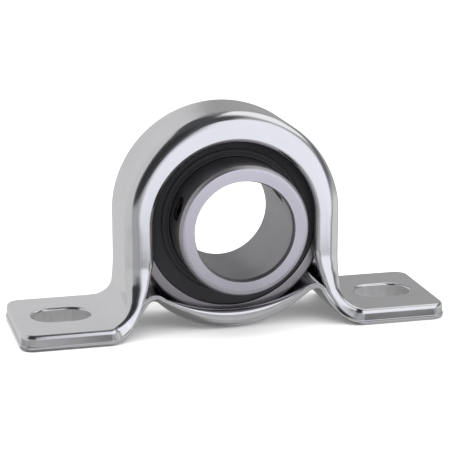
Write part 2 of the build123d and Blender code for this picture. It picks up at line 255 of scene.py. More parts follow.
def fill_plane(bm, rings):
    """Fills the flat area bounded by closed rings of vertices."""
    edges = []
    for ring in rings:
        for i, vertex in enumerate(ring):
            other = ring[(i + 1) % len(ring)]
            edge = bm.edges.get((vertex, other)) or bm.edges.new((vertex, other))
            edges.append(edge)
    bmesh.ops.triangle_fill(bm, use_beauty=True, edges=edges)


def placed(name, bm):
    """Object with a finished mesh, linked to the scene."""
    mesh = bpy.data.meshes.new(name)
    bm.to_mesh(mesh)
    bm.free()
    thing = bpy.data.objects.new(name, mesh)
    bpy.context.scene.collection.objects.link(thing)
    return thing


def new_piece(name, bm, material, body, nodes=(), sharp=35, second=None):
    """Links a finished mesh as a piece of the object, with a second material for marked faces."""
    bmesh.ops.remove_doubles(bm, verts=bm.verts, dist=0.0005 * MM)
    bmesh.ops.dissolve_degenerate(bm, edges=bm.edges, dist=0.0002 * MM)
    bmesh.ops.recalc_face_normals(bm, faces=bm.faces)
    piece = placed(name, bm)
    mesh = piece.data
    mesh.shade_smooth()
    mesh.set_sharp_from_angle(angle=radians(sharp))
    mesh.materials.append(material)
    if second:
        mesh.materials.append(second)
    weighted = piece.modifiers.new("weighted", "WEIGHTED_NORMAL")
    weighted.keep_sharp = True
    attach(piece, body)
    if nodes:
        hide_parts(*nodes)


# ---- pressed strap --------------------------------------------------------------------

# Steps of half a section: along its crown, round its shoulder or its lip's edge, and down its side.
CROWN_STEPS = 5
BEND_STEPS = 12
SIDE_STEPS = 5


def strap_section(half_width, depth, shoulder, drop, edge, roll, seat, sheet):
    """Outline of half a strap section as (across, depth) points, crown to seat.

    The crown is flat. The shoulder is rounded (shoulder is its size across, drop along the
    depth), the lip's edge is rolled over (roll across, edge along the depth), and the seat
    curves by a share of the sphere. sheet is the thickness.
    """
    settings = bpy.context.scene.pillow_housing
    beyond = max(depth - sheet, 0.0)
    inner_edge = min(settings.lip_burr, roll, 0.45 * beyond)
    corner = min(settings.corner, 0.45 * beyond)
    root_across = half_width - sheet - corner
    root = sheet + seat * (SEAT_RADIUS - sqrt(SEAT_RADIUS**2 - root_across**2))
    root = min(root, depth - inner_edge - corner)
    bend = spread(0, pi / 2, BEND_STEPS)[1:]
    points = [(across, 0.0) for across in spread(0, half_width - shoulder, CROWN_STEPS)]
    points += [(half_width - shoulder + shoulder * sin(a), drop - drop * cos(a)) for a in bend]
    points += [(half_width, low) for low in spread(drop, depth - edge, SIDE_STEPS)[1:]]
    points += [(half_width - roll + roll * cos(a), depth - edge + edge * sin(a)) for a in bend]
    inside = half_width - sheet
    points += arc((inside + inner_edge, depth - inner_edge), inner_edge, pi / 2, pi, 4)
    points += [(inside, low) for low in spread(depth - inner_edge, root + corner, 3)[1:]]
    points += arc((root_across, root + corner), corner, 0, -pi / 2, 5)[1:]
    blend = root - sheet
    full = SEAT_RADIUS - sqrt(SEAT_RADIUS**2 - root_across**2)
    for across in spread(root_across, 0, 9)[1:]:
        curve = SEAT_RADIUS - sqrt(SEAT_RADIUS**2 - across**2)
        points.append((across, sheet + blend * curve / full))
    return points


def full_section(place, outward, points):
    """Closed loop of a section in space from its half outline."""
    x, z = place
    nx, nz = outward
    loop = [Vector((x - nx * depth, across, z - nz * depth)) for across, depth in points]
    other = [Vector((v.x, -v.y, v.z)) for v in reversed(loop[1:-1])]
    return loop + other


def away(point, direction, reach):
    """Point of the strap's path that lies a length away from another."""
    return point[0] + reach * direction[0], point[1] + reach * direction[1]


def outline_of_foot(start, end, inset, corner):
    """Path round a foot's plan, inset from its edge, from one side of its root to the other."""
    half = HALF_BASE - inset
    tip = end - inset
    radius = corner - inset
    path = [(x, half) for x in spread(start, tip - radius, 6)]
    path += arc((tip - radius, half - radius), radius, pi / 2, 0, 10)[1:]
    path += [(tip, y) for y in spread(half - radius, -(half - radius), 6)[1:]]
    path += arc((tip - radius, -(half - radius)), radius, 0, -pi / 2, 10)[1:]
    path += [(x, -half) for x in spread(tip - radius, start, 6)[1:]]
    return path


def slot_outline(grow):
    """Stadium round a bolt slot, grown by a distance."""
    radius = SLOT_WIDTH / 2 + grow
    reach = (SLOT_LENGTH - SLOT_WIDTH) / 2
    centre = BOLT_SPACING / 2
    path = arc((centre + reach, 0), radius, -pi / 2, pi / 2, 20)
    path += [(x, radius) for x in spread(centre + reach, centre - reach, 4)[1:]]
    path += arc((centre - reach, 0), radius, pi / 2, 3 * pi / 2, 20)[1:]
    path += [(x, -radius) for x in spread(centre - reach, centre + reach, 4)[1:-1]]
    return path


def add_foot(bm, section, half_outline, face_z, inward, end):
    """Flat foot that carries on from the last section, with its slot and rolled edge.

    half_outline is the section's half outline, face_z the height of the crown side, and inward
    the direction of depth, up or down.
    """
    settings = bpy.context.scene.pillow_housing
    seam_start = CROWN_STEPS + BEND_STEPS + SIDE_STEPS + BEND_STEPS
    levels = []
    for index in range(CROWN_STEPS, seam_start + 1):
        across, depth = half_outline[index]
        path = outline_of_foot(settings.foot_start, end, HALF_BASE - across, settings.foot_corner)
        ring = [bm.verts.new((x, y, face_z + inward * depth)) for x, y in path]
        ring[0] = section[index]
        ring[-1] = section[-index]
        levels.append(ring)
    for first, second in zip(levels, levels[1:]):
        bridge(bm, first, second)
    crown_line = [section[i] for i in range(-CROWN_STEPS, CROWN_STEPS + 1)]
    seat_line = section[seam_start : len(section) - seam_start + 1]
    mouth = settings.slot_edge
    wall = []
    for angle in spread(0, pi / 2, 7):
        grow = mouth * (1 - sin(angle))
        depth = mouth * (1 - cos(angle))
        wall.append(add_loop(bm, [(x, y, face_z + inward * depth) for x, y in slot_outline(grow)]))
    seat = half_outline[-1][1]
    wall.append(add_loop(bm, [(x, y, face_z + inward * seat) for x, y in slot_outline(0)]))
    for first, second in zip(wall, wall[1:]):
        bridge(bm, first, second, closed=True)
    bm.faces.ensure_lookup_table()
    for face in bm.faces[-len(wall[0]):]:
        face.material_index = 1
    fill_plane(bm, [levels[0] + crown_line[1:-1], wall[0]])
    fill_plane(bm, [levels[-1] + list(reversed(seat_line[1:-1])), wall[-1]])


def mirror_half(bm):
    """Adds the other half of a mesh across the middle plane."""
    geometry = bm.verts[:] + bm.edges[:] + bm.faces[:]
    copy = bmesh.ops.duplicate(bm, geom=geometry)["geom"]
    vertices = [item for item in copy if isinstance(item, bmesh.types.BMVert)]
    faces = [item for item in copy if isinstance(item, bmesh.types.BMFace)]
    bmesh.ops.scale(bm, vec=(-1, 1, 1), verts=vertices)
    bmesh.ops.reverse_faces(bm, faces=faces)


def strap_half(stations, face_z, inward, end):
    """Half a pressed strap: sections joined along their path, then the foot."""
    bm = bmesh.new()
    loops = []
    for place, outward, shape in stations:
        outline = strap_section(**shape)
        loops.append((add_loop(bm, full_section(place, outward, outline)), outline))
    for (first, _), (second, _) in zip(loops, loops[1:]):
        bridge(bm, first, second, closed=True)
    section, outline = loops[-1]
    add_foot(bm, section, outline, face_z, inward, end)
    mirror_half(bm)
    return bm


def foot_top():
    """Height of an upper foot's top face."""
    return 2 * SHEET + bpy.context.scene.pillow_housing.foot_lift


def leg_keys():
    """How the upper sheet's section changes with height, as (height, value) keys for each of its sizes."""
    settings = bpy.context.scene.pillow_housing
    lip = ARCH_RADIUS - settings.lip_radius
    crown = foot_top()
    width = settings.half_width
    foot_depth = SHEET + settings.foot_hang + settings.foot_lift
    rounded = [
        (9.5 * MM, 2.8 * MM),
        (14.0 * MM, settings.leg_shoulder),
        (24.0 * MM, settings.leg_shoulder),
        (34.0 * MM, settings.shoulder),
    ]
    return {
        "half_width": [
            (crown, HALF_BASE),
            (4.7 * MM, HALF_BASE - 0.9 * MM),
            (6.8 * MM, HALF_BASE - 2.3 * MM),
            (9.5 * MM, width + 1.5 * MM),
            (12.0 * MM, width + 1.0 * MM),
            (14.0 * MM, width + 0.5 * MM),
            (18.0 * MM, width),
        ],
        "depth": [
            (crown, foot_depth),
            (5.2 * MM, foot_depth),
            (7.0 * MM, 3.0 * MM),
            (9.5 * MM, 4.1 * MM),
            (12.0 * MM, lip - 1.8 * MM),
            (15.0 * MM, lip - 0.9 * MM),
            (20.0 * MM, lip),
            (SHAFT_HEIGHT + 4.0 * MM, lip),
            (SHAFT_HEIGHT + ARCH_RADIUS, lip + settings.lip_drop),
        ],
        "shoulder": [(crown, settings.foot_edge), (4.8 * MM, 1.1 * MM), (6.8 * MM, 1.9 * MM), *rounded],
        "drop": [(crown, settings.foot_drop), (4.8 * MM, settings.foot_drop), (6.8 * MM, 2.0 * MM), *rounded],
        "edge": [
            (crown, SEAM_EDGE),
            (6.0 * MM, 0.3 * MM),
            (9.0 * MM, 0.9 * MM),
            (13.0 * MM, 1.6 * MM),
            (18.0 * MM, settings.leg_edge),
            (26.0 * MM, settings.leg_edge),
            (36.0 * MM, settings.lip_edge),
        ],
        "roll": [
            (crown, SEAM_EDGE),
            (6.0 * MM, 0.2 * MM),
            (10.0 * MM, 0.8 * MM),
            (16.0 * MM, settings.leg_roll),
            (26.0 * MM, settings.leg_roll),
            (36.0 * MM, settings.lip_edge),
        ],
        "seat": [(7.0 * MM, 0.0), (14.0 * MM, 0.6), (18.0 * MM, 1.0)],
        "sheet": [(crown, foot_depth), (5.2 * MM, foot_depth), (7.0 * MM, 2.4 * MM), (9.5 * MM, SHEET)],
    }


def upper_stations():
    """Places and sections along half of the upper sheet, from the crown to the foot."""
    settings = bpy.context.scene.pillow_housing
    keys = leg_keys()
    bend = (ARCH_RADIUS + settings.bend, foot_top() + settings.bend)
    places = []
    for angle in spread(pi / 2, 0, 40):
        outward = (cos(angle), sin(angle))
        places.append((away(ARCH_CENTRE, outward, ARCH_RADIUS), outward))
    for z in spread(SHAFT_HEIGHT, bend[1], 30)[1:]:
        places.append(((ARCH_RADIUS, z), (1.0, 0.0)))
    for angle in spread(0, pi / 2, 30)[1:]:
        outward = (cos(angle), sin(angle))
        places.append((away(bend, outward, -settings.bend), outward))
    places.append(((settings.foot_start, foot_top()), (0.0, 1.0)))
    return [
        (place, outward, {name: smooth_keys(key, place[1]) for name, key in keys.items()})
        for place, outward in places
    ]


def sheet_piece(node, bm):
    """Makes a plated sheet of a mesh whose slot walls are marked."""
    second = finish(sheared_zinc)
    new_piece(f"{node}_sheet", bm, finish(zinc_plate), "housing", [node], second=second)


class BEARING_OT_upper_housing(bpy.types.Operator):
    """Builds the upper sheet: arch, lips, legs and slotted feet"""

    bl_idname = "bearing.upper_housing"
    bl_label = "Upper housing"

    def execute(self, context):
        sheet_piece("upper_housing", strap_half(upper_stations(), foot_top(), -1, UPPER_HIGH.x))
        return {"FINISHED"}


def lower_bends():
    """Radii, centres and angles of the lower sheet's hump and foot bend."""
    settings = bpy.context.scene.pillow_housing
    hump = (settings.hump_x, settings.hump_z)
    bend = (ARCH_RADIUS + settings.bend, 2 * SHEET + settings.bend)
    hump_radius = hypot(hump[0], SHAFT_HEIGHT - hump[1]) - SEAT_RADIUS
    bend_radius = settings.bend + SHEET
    reach = hypot(bend[0] - hump[0], bend[1] - hump[1])
    slope = asin((bend_radius + hump_radius) / reach) - atan2(bend[1] - hump[1], bend[0] - hump[0])
    cradle = atan2(hump[0], SHAFT_HEIGHT - hump[1])
    return hump, hump_radius, bend, bend_radius, slope, cradle


def rim_depth(angle):
    """Depth of the cradle's lip at an angle from straight down."""
    settings = bpy.context.scene.pillow_housing
    rise = settings.rim_z + settings.rim_radius - SHAFT_HEIGHT
    across = rise * cos(angle)
    reach = sqrt(settings.rim_radius**2 - (rise * sin(angle)) ** 2) - across
    return ARCH_RADIUS - reach


def lower_width(x):
    """Half width of the lower sheet: the cradle's, then a smooth flare to the foot's."""
    settings = bpy.context.scene.pillow_housing
    start, end = 22.0 * MM, 33.0 * MM
    rise = HALF_BASE - settings.half_width
    if x <= start:
        return settings.half_width
    if x >= end:
        return HALF_BASE
    radius = ((end - start) ** 2 + rise**2) / (4 * rise)
    if x < (start + end) / 2:
        return settings.half_width + radius - sqrt(radius**2 - (x - start) ** 2)
    return HALF_BASE - radius + sqrt(radius**2 - (end - x) ** 2)


def lower_stations():
    """Places and sections along half of the lower sheet, from the cradle to the foot."""
    settings = bpy.context.scene.pillow_housing
    hump, hump_radius, bend, bend_radius, slope, cradle = lower_bends()
    stations = []
    for angle in spread(0, cradle, 26):
        outward = (sin(angle), -cos(angle))
        depth = max(rim_depth(angle), SHEET)
        lip = depth - SHEET
        shoulder = min(settings.shoulder, 0.9 * SHEET + 0.85 * lip) if lip > 0 else PLAIN_BEND
        edge = max(min(settings.lip_edge, 0.35 * lip), SEAM_EDGE)
        shape = {
            "half_width": settings.half_width,
            "depth": depth,
            "shoulder": shoulder,
            "drop": shoulder,
            "edge": edge,
            "roll": edge,
            "seat": 1.0,
            "sheet": SHEET,
        }
        stations.append((away(ARCH_CENTRE, outward, ARCH_RADIUS), outward, shape))
    under = hump_radius - SHEET
    for angle in spread(-cradle, slope, 24)[1:]:
        lift = (sin(angle), cos(angle))
        place = away(hump, lift, under)
        stations.append((place, (-lift[0], -lift[1]), sheet_shape(place[0], hump[0])))
    top = away(hump, (sin(slope), cos(slope)), under)
    outer = bend_radius + SHEET
    low = away(bend, (sin(slope), cos(slope)), -outer)
    for t in spread(0, 1, 10)[1:]:
        place = (top[0] + (low[0] - top[0]) * t, top[1] + (low[1] - top[1]) * t)
        stations.append((place, (-sin(slope), -cos(slope)), sheet_shape(place[0], hump[0])))
    for angle in spread(slope, 0, 16)[1:]:
        outward = (-sin(angle), -cos(angle))
        place = away(bend, outward, outer)
        stations.append((place, outward, sheet_shape(place[0], hump[0])))
    stations.append(((settings.foot_start, 0.0), (0.0, -1.0), sheet_shape(settings.foot_start, hump[0])))
    return stations


def sheet_shape(x, hump_x):
    """Section of the plain sheet at a place along the lower half, thinned under the upper foot."""
    settings = bpy.context.scene.pillow_housing
    hang_start, hang_length, easing_length = 23 * MM, 3 * MM, 4 * MM
    easing = clamp((x - hump_x) / easing_length)
    sheet = SHEET - settings.foot_hang * clamp((x - hang_start) / hang_length)
    return {
        "half_width": lower_width(x),
        "depth": sheet,
        "shoulder": PLAIN_BEND + (settings.under_edge - PLAIN_BEND) * easing,
        "drop": PLAIN_BEND + (settings.under_drop - PLAIN_BEND) * easing,
        "edge": SEAM_EDGE,
        "roll": SEAM_EDGE,
        "seat": 0.0,
        "sheet": sheet,
    }


class BEARING_OT_lower_housing(bpy.types.Operator):
    """Builds the lower sheet: cradle, humps and slotted feet"""

    bl_idname = "bearing.lower_housing"
    bl_label = "Lower housing"

    def execute(self, context):
        sheet_piece("lower_housing", strap_half(lower_stations(), 0.0, 1, LOWER_HIGH.x))
        return {"FINISHED"}


# ---- bearing ----------------------------------------------------------------------------

SCREW_SIDES = 72


def turned(profile, segments=192):
    """Mesh of a closed (along shaft, radius) profile turned about the shaft axis."""
    bm = bmesh.new()
    rows = []
    for step in range(segments):
        angle = 2 * pi * step / segments
        rows.append(add_loop(bm, [(r * sin(angle), y, SHAFT_HEIGHT + r * cos(angle)) for y, r in profile]))
    for i, row in enumerate(rows):
        bridge(bm, row, rows[(i + 1) % segments], closed=True)
    return bm


class BEARING_OT_outer_ring(bpy.types.Operator):
    """Builds the outer ring with its spherical outside and seal seats"""

    bl_idname = "bearing.outer_ring"
    bl_label = "Outer ring"

    def execute(self, context):
        half = OUTER_HIGH.y
        rim = sqrt(RING_SPHERE**2 - half**2)
        turn = asin(half / RING_SPHERE)
        steps = spread(-turn * 0.95, turn * 0.95, 40)
        sphere = [(RING_SPHERE * sin(a), RING_SPHERE * cos(a)) for a in steps]
        steps = spread(-3.6 * MM, 3.6 * MM, 16)
        groove = [(y, OUTER_RACE_CENTRE + sqrt(BALL_GROOVE**2 - y**2)) for y in steps]
        side = [
            (SEAL_BACK, OUTER_LAND),
            (SEAL_BACK, SEAL_SEAT),
            (half - 0.05 * MM, SEAL_SEAT),
            (half, 22.45 * MM),
            (half, rim - 0.55 * MM),
            (half - 0.15 * MM, rim - 0.12 * MM),
        ]
        profile = sphere[::-1] + [(-y, r) for y, r in reversed(side)] + groove + side
        bm = turned(profile)
        new_piece("outer_ring_body", bm, finish(ground_steel), "insert", ["outer_ring"])
        return {"FINISHED"}


def thread_row(angles, place, high, low, pitch, start):
    """Radii of one row round a thread at a place along it."""
    row = []
    for angle in angles:
        phase = (place / pitch - angle / (2 * pi) + start) % 1.0
        row.append(low + (high - low) * clamp(abs(2 * phase - 1) * 1.25 - 0.125))
    return row


def rod(rows, axis):
    """Closed mesh of rows of (height, radii) about an axis given by its start and direction."""
    start, along = axis
    across = along.orthogonal().normalized()
    up = along.cross(across)
    bm = bmesh.new()
    made = []
    for height, radii in rows:
        angles = spread(0, 2 * pi, len(radii))[:-1]
        spokes = [(across * cos(a) + up * sin(a)) * r for a, r in zip(angles, radii)]
        made.append(add_loop(bm, [start + along * height + spoke for spoke in spokes]))
    for first, second in zip(made, made[1:]):
        bridge(bm, first, second, closed=True)
    for end in (made[0], made[-1]):
        middle = bm.verts.new(sum((v.co for v in end), Vector()) / len(end))
        for k, vertex in enumerate(end):
            bm.faces.new((vertex, end[(k + 1) % len(end)], middle))
    bmesh.ops.recalc_face_normals(bm, faces=bm.faces)
    return bm


def screw_axis(number):
    """Start and direction of a set screw: on the shaft axis, outward through the inner ring."""
    low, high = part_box(f"set_screw_{number}")
    middle = (low + high) / 2
    start = Vector((0, middle.y, SHAFT_HEIGHT))
    return start, (middle - start).normalized()


def tap(number):
    """Threaded cutter for a set screw's hole, countersunk outside and eased into the bore."""
    settings = bpy.context.scene.pillow_bearing
    root = settings.thread / 2
    crest = root - 0.54 * settings.pitch
    angles = spread(0, 2 * pi, SCREW_SIDES)[:-1]
    rows = [(BORE_RADIUS - 3 * MM, [root] * SCREW_SIDES)]
    for place in spread(BORE_RADIUS - 0.2 * MM, INNER_RADIUS + 0.2 * MM, 44):
        ease = max(0.0, place - INNER_RADIUS + 0.35 * MM) + max(0.0, BORE_RADIUS + 0.25 * MM - place)
        row = thread_row(angles, place, root, crest, settings.pitch, 0.0)
        rows.append((place, [max(r, crest + ease * 1.2) for r in row]))
    rows.append((INNER_RADIUS + 1.5 * MM, [root + 0.2 * MM] * SCREW_SIDES))
    return rod(rows, screw_axis(number))


def hexagon(flats, count):
    """Radii of a hexagon with this distance across its flats."""
    return [flats / 2 / cos((2 * pi * k / count) % (pi / 3) - pi / 6) for k in range(count)]


def cut_with(bm, cutters):
    """Mesh left when the cutters are taken out of a closed mesh."""
    made = []
    for shape in (bm, *cutters):
        bmesh.ops.recalc_face_normals(shape, faces=shape.faces)
        made.append(placed("blank", shape))
    for cutter in made[1:]:
        cut = made[0].modifiers.new("cut", "BOOLEAN")
        cut.operation = "DIFFERENCE"
        cut.solver = "EXACT"
        cut.object = cutter
    graph = bpy.context.evaluated_depsgraph_get()
    left = bmesh.new()
    left.from_mesh(bpy.data.meshes.new_from_object(made[0].evaluated_get(graph)))
    for blank in made:
        bpy.data.meshes.remove(blank.data)
    return left


class BEARING_OT_inner_ring(bpy.types.Operator):
    """Builds the long inner ring with its bore and tapped holes"""

    bl_idname = "bearing.inner_ring"
    bl_label = "Inner ring"

    def execute(self, context):
        settings = context.scene.pillow_bearing
        front, rear = INNER_LOW.y, INNER_HIGH.y
        lead, edge, nose = settings.bore_lead, settings.ring_edge, settings.ring_nose
        mouth = BORE_RADIUS + settings.bore_chamfer
        flat = INNER_RADIUS - edge
        soft = 0.1 * MM
        profile = [(y, BORE_RADIUS) for y in spread(front + lead, rear - lead, 54)]
        profile += [(rear, r) for r in spread(mouth, flat, 4)]
        profile += arc((rear - edge, flat), edge, 0, pi / 2, 5)[1:]
        profile += [(y, INNER_RADIUS) for y in spread(rear - edge, 2.85 * MM, 6)[1:]]
        steps = spread(2.6 * MM, -2.6 * MM, 12)
        profile += [(y, INNER_RACE_CENTRE - sqrt(BALL_GROOVE**2 - y**2)) for y in steps]
        profile += [(y, INNER_RADIUS) for y in spread(-2.85 * MM, front + nose, 36)]
        profile += [(front + nose - 2 * soft, INNER_RADIUS - 0.3 * soft)]
        profile += [(front + inset, flat + inset) for inset in (soft, 0.3 * soft)]
        profile += [(front, r) for r in spread(flat - soft, mouth, 4)]
        bm = cut_with(turned(profile, 240), [tap(1), tap(2)])
        # Painted shade: the walls of the tapped holes get the black oxide finish, which stands in for the
        # shade inside the holes.
        for number in (1, 2):
            start, along = screw_axis(number)
            for face in bm.faces:
                spoke = face.calc_center_median() - start
                height = spoke.dot(along)
                if height > BORE_RADIUS - 0.2 * MM and (spoke - along * height).length < settings.thread / 2:
                    face.material_index = 1
        steel, black = finish(ground_steel), finish(black_oxide)
        new_piece("inner_ring_body", bm, steel, "inner", ["inner_ring"], second=black)
        return {"FINISHED"}


class BEARING_OT_set_screws(bpy.types.Operator):
    """Builds both set screws with thread, hexagon socket and cup point"""

    bl_idname = "bearing.set_screws"
    bl_label = "Set screws"

    def execute(self, context):
        settings = context.scene.pillow_bearing
        angles = spread(0, 2 * pi, SCREW_SIDES)[:-1]
        crest = settings.thread / 2 - 0.09 * MM
        root = crest - 0.5 * settings.pitch
        tip, top = SCREW_TIP, SCREW_TOP - 0.1 * MM
        edge = 0.5 * MM
        socket = hexagon(settings.socket, SCREW_SIDES)

        def level(height, radius):
            return height, [radius] * SCREW_SIDES

        for number in (1, 2):
            rows = [level(tip + 0.75 * MM, 0.1 * MM), level(tip, 1.5 * MM), level(tip, 1.75 * MM)]
            for place in spread(tip + 0.05 * MM, top - 0.05 * MM, 40):
                point = 1.85 * MM + (place - tip) * 1.6
                head = crest - edge + (top - place) * 1.2 + 0.1 * MM
                row = thread_row(angles, place, crest, root, settings.pitch, 0.5)
                rows.append((place, [min(r, crest, point, head) for r in row]))
            rows += [level(top, crest - edge), level(top, crest - edge - 0.15 * MM)]
            rows += [(top, [r + 0.12 * MM for r in socket]), (top - 0.12 * MM, socket)]
            rows += [(top - 1.9 * MM, socket), level(top - 1.95 * MM, 1.3 * MM)]
            rows += [level(top - 2.35 * MM, 0.1 * MM)]
            bm = rod(rows, screw_axis(number))
            name = f"set_screw_{number}"
            new_piece(f"{name}_body", bm, finish(black_oxide), f"screw_{number}", [name])
        return {"FINISHED"}


class BEARING_OT_seals(bpy.types.Operator):
    """Builds both rubber seals"""

    bl_idname = "bearing.seals"
    bl_label = "Seals"

    def execute(self, context):
        face = SEAL_FACE
        lip = context.scene.pillow_bearing.seal_lip
        ridge = 0.22 * MM
        rim, corner = 22.35 * MM, 0.3 * MM
        profile = [(SEAL_BACK, 22.0 * MM), (SEAL_BACK, rim), (face - corner, rim)]
        profile += arc((face - corner, 22.05 * MM), corner, pi / 2, 0, 4)
        profile += [(face, r) for r in (21.0 * MM, 20.0 * MM, 19.0 * MM, 18.7 * MM)]
        profile += [(face - ridge, 18.6 * MM), (face - ridge, 18.35 * MM), (face + 0.45 * lip, 18.1 * MM)]
        profile += [(face + 0.5 * lip, 17.6 * MM), (face + 0.3 * lip, 17.45 * MM)]
        profile += [(face + 0.35 * lip, 17.2 * MM), (face + lip, 16.95 * MM), (face + lip, 16.65 * MM)]
        profile += [(face, 16.6 * MM), (6.6 * MM, 16.7 * MM), (6.1 * MM, 17.4 * MM)]
        rubber = finish(seal_rubber)
        for name, side in (("front", -1), ("rear", 1)):
            bm = turned([(side * y, r) for y, r in profile])
            nodes = [f"{name}_seal_rubber"]
            new_piece(f"{name}_seal_moulding", bm, rubber, "insert", nodes, sharp=50)
        return {"FINISHED"}


class BEARING_OT_inner_parts(bpy.types.Operator):
    """Gives the balls, cage and washers their finishes"""

    bl_idname = "bearing.inner_parts"
    bl_label = "Inner parts"

    def execute(self, context):
        strip = finish(strip_steel)
        finishes = {"ball": finish(polished_steel), "cage": strip, "seal_core": strip}
        for name, node in frame["nodes"].items():
            for word, material in finishes.items():
                if word in name:
                    node.data.materials.clear()
                    node.data.materials.append(material)
        return {"FINISHED"}


# ---- finishes -----------------------------------------------------------------------------


def plug(tree, socket, value):
    """Links an output to a socket, or sets a constant on the socket itself."""
    if isinstance(value, bpy.types.NodeSocket):
        tree.links.new(value, socket)
    else:
        socket.default_value = value


def wire(tree, kind, settings=None, **inputs):
    """Adds a node. An input is a value or the output of another node."""
    node = tree.nodes.new(kind)
    for key, value in (settings or {}).items():
        setattr(node, key, value)
    for key, value in inputs.items():
        numbered = key.startswith("in") and key[2:].isdigit()
        plug(tree, node.inputs[int(key[2:]) if numbered else key], value)
    return node


def maths(tree, operation, first, second=0.0):
    """Output of one sum."""
    return wire(tree, "ShaderNodeMath", {"operation": operation}, in0=first, in1=second).outputs[0]


def plus(tree, first, second):
    """Output of two values added."""
    return maths(tree, "ADD", first, second)


def times(tree, first, second):
    """Output of two values multiplied."""
    return maths(tree, "MULTIPLY", first, second)


def radial(tree, first, second):
    """Output of the distance from an axis, from two lengths square to it."""
    return maths(tree, "SQRT", plus(tree, times(tree, first, first), times(tree, second, second)))


def noise(tree, place, scale, detail=4.0, rough=0.5):
    """Output of a noise from 0 to 1."""
    node = wire(tree, "ShaderNodeTexNoise", None, Vector=place, Scale=scale, Detail=detail, Roughness=rough)
    return node.outputs["Fac"]


def ramp(tree, value, low, high, to_low=0.0, to_high=1.0):
    """Output of a clamped map from one range to another."""
    node = wire(tree, "ShaderNodeMapRange", None, Value=value)
    for key, number in zip(("From Min", "From Max", "To Min", "To Max"), (low, high, to_low, to_high)):
        node.inputs[key].default_value = number
    return node.outputs["Result"]


def blend(tree, share, first, second):
    """Output of a mix of two colours."""
    node = wire(tree, "ShaderNodeMix", {"data_type": "RGBA"}, in0=share)
    for index, colour in ((6, first), (7, second)):
        given = isinstance(colour, bpy.types.NodeSocket)
        plug(tree, node.inputs[index], colour if given else (*colour, 1.0))
    return node.outputs[2]


def bumped(tree, height, distance, normal=None):
    """Normal tilted by a height in metres."""
    node = wire(tree, "ShaderNodeBump", None, Height=height, Distance=distance)
    if normal:
        tree.links.new(normal, node.inputs["Normal"])
    return node.outputs["Normal"]


def finish(describe):
    """The material whose shader inputs a function describes, made when it is first asked for."""
    name = describe.__name__
    if name not in bpy.data.materials:
        material = bpy.data.materials.new(name)
        material.use_nodes = True
        tree = material.node_tree
        shader = tree.nodes["Principled BSDF"]
        for socket, value in describe(tree).items():
            plug(tree, shader.inputs[socket], value)
    return bpy.data.materials[name]


def from_object(tree):
    """Object coordinates as one vector."""
    return wire(tree, "ShaderNodeTexCoord").outputs["Object"]


def from_shaft(tree):
    """Object coordinates measured from the shaft axis, as one vector and as three outputs."""
    mapped = wire(tree, "ShaderNodeMapping", None, Vector=from_object(tree), Location=(0, 0, -SHAFT_HEIGHT))
    split = wire(tree, "ShaderNodeSeparateXYZ", None, Vector=mapped.outputs[0])
    return mapped.outputs[0], *split.outputs


def joined(tree, x, y, z):
    """One vector from three outputs."""
    return wire(tree, "ShaderNodeCombineXYZ", None, X=x, Y=y, Z=z).outputs[0]


def worn_edges(tree, low, high):
    """From 0 on flat surfaces to 1 on worn outer edges."""
    return ramp(tree, wire(tree, "ShaderNodeNewGeometry").outputs["Pointiness"], low, high)


def darker(colour, share):
    """A colour times a share."""
    return [channel * share for channel in colour]


def zinc_plate(tree):
    """Bright zinc plate on drawn sheet: streaks along the strap, a soft orange peel, worn edges."""
    colour = bpy.context.scene.pillow_finish.zinc
    place, x, y, z = from_shaft(tree)
    radius = radial(tree, x, maths(tree, "MAXIMUM", z, 0.0))
    across = times(tree, radius, ramp(tree, z, -21 * MM, -13 * MM))
    fine = noise(tree, joined(tree, across, y, times(tree, z, 0.02)), 2600.0, 3.0)
    wide = noise(tree, joined(tree, across, y, times(tree, z, 0.05)), 600.0, 3.0)
    peel = noise(tree, place, 320.0, 2.0)
    cloud = noise(tree, place, 60.0, 5.0)
    worn = worn_edges(tree, 0.53, 0.62)
    streaks = plus(tree, times(tree, fine, 0.5), times(tree, wide, 0.5))
    rough = plus(tree, ramp(tree, streaks, 0.3, 0.7, 0.10, 0.19), ramp(tree, cloud, 0.35, 0.7, 0.0, 0.05))
    plate = blend(tree, ramp(tree, cloud, 0.3, 0.7), darker(colour, 0.93), colour)
    normal = bumped(tree, wide, 0.003 * MM, bumped(tree, peel, 0.008 * MM))
    return {
        "Base Color": blend(tree, times(tree, worn, 0.5), plate, (0.9, 0.9, 0.92)),
        "Roughness": maths(tree, "SUBTRACT", rough, times(tree, worn, 0.05)),
        "Metallic": 1.0,
        "Normal": bumped(tree, fine, 0.0008 * MM, normal),
    }


def sheared_zinc(tree):
    """Plated walls of the punched slots: upright drag lines and a dull, torn surface."""
    place, x, y, z = from_shaft(tree)
    drag = noise(tree, joined(tree, x, y, times(tree, z, 0.1)), 900.0, 3.0)
    cloud = noise(tree, place, 300.0, 4.0)
    torn = plus(tree, times(tree, drag, 0.6), times(tree, cloud, 0.4))
    return {
        "Base Color": blend(tree, ramp(tree, torn, 0.3, 0.7), (0.5, 0.5, 0.5), (0.66, 0.66, 0.67)),
        "Roughness": ramp(tree, torn, 0.3, 0.7, 0.34, 0.5),
        "Metallic": 0.8,
        "Normal": bumped(tree, torn, 0.02 * MM),
    }


